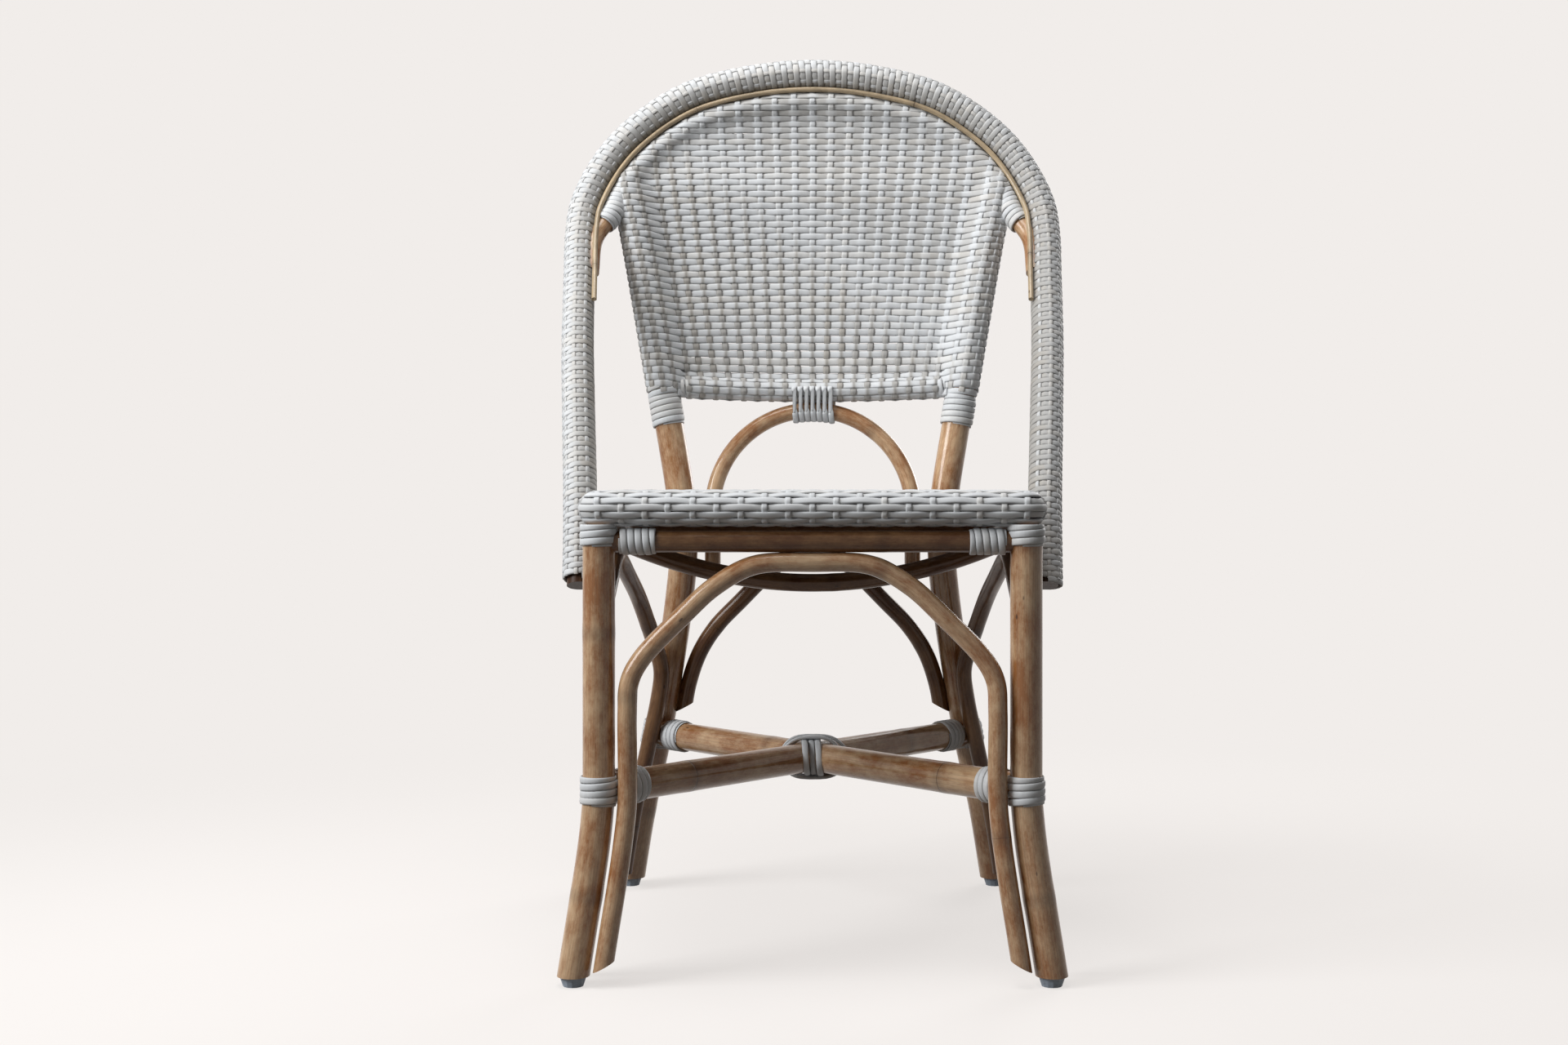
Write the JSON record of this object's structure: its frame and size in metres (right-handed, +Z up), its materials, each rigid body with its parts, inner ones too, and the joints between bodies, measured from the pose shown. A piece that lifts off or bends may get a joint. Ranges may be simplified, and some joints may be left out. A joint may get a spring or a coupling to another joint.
{
  "type": "side chair",
  "caption": "Side chair of bent poles with a woven seat, a woven back inside an arched hoop and crossed stretchers.",
  "frame": {"origin": "on the floor under the middle of the chair's bounding box", "axes": "+X to the right as seen from the front, +Y to the back, +Z up"},
  "size_m": [0.5598, 0.4982, 0.9522],
  "materials": {
    "rattan": "glossy lacquer over a natural cane pole",
    "strand": "satin woven strand",
    "peel": "pale peeled cane",
    "plastic": "moulded grey"
  },
  "bodies": {
    "root": {"seat_ring_bent": "rattan", "seat_rail_front": "rattan", "front_leg_right": "rattan", "front_leg_left": "rattan", "rear_post_right": "rattan", "rear_post_left": "rattan", "apron_front": "rattan", "apron_ring": "rattan", "bow_front": "rattan", "bow_rear": "rattan", "bow_right": "rattan", "bow_left": "rattan", "seat_support_bow": "rattan", "stretcher_lower_lap": "rattan", "stretcher_upper_lap": "rattan", "hoop_pole": "rattan", "inner_arch": "rattan", "back_rail": "rattan", "lower_arch": "rattan", "seat_weave": "strand", "hoop_weave": "strand", "back_weave": "strand", "band_leg_top_right": "strand", "band_leg_top_left": "strand", "band_leg_right": "strand", "band_leg_left": "strand", "band_rear_leg_right": "strand", "band_rear_leg_left": "strand", "band_post_right": "strand", "band_post_left": "strand", "band_stretcher_front_right": "strand", "band_stretcher_front_left": "strand", "band_stretcher_rear_right": "strand", "band_stretcher_rear_left": "strand", "band_apron_right": "strand", "band_apron_left": "strand", "band_lower_arch": "strand", "lashing_cross_front": "strand", "lashing_cross_side": "strand", "arch_trim": "peel", "glide_front_right": "plastic", "glide_front_left": "plastic", "glide_rear_right": "plastic", "glide_rear_left": "plastic"}
  },
  "joints": []
}
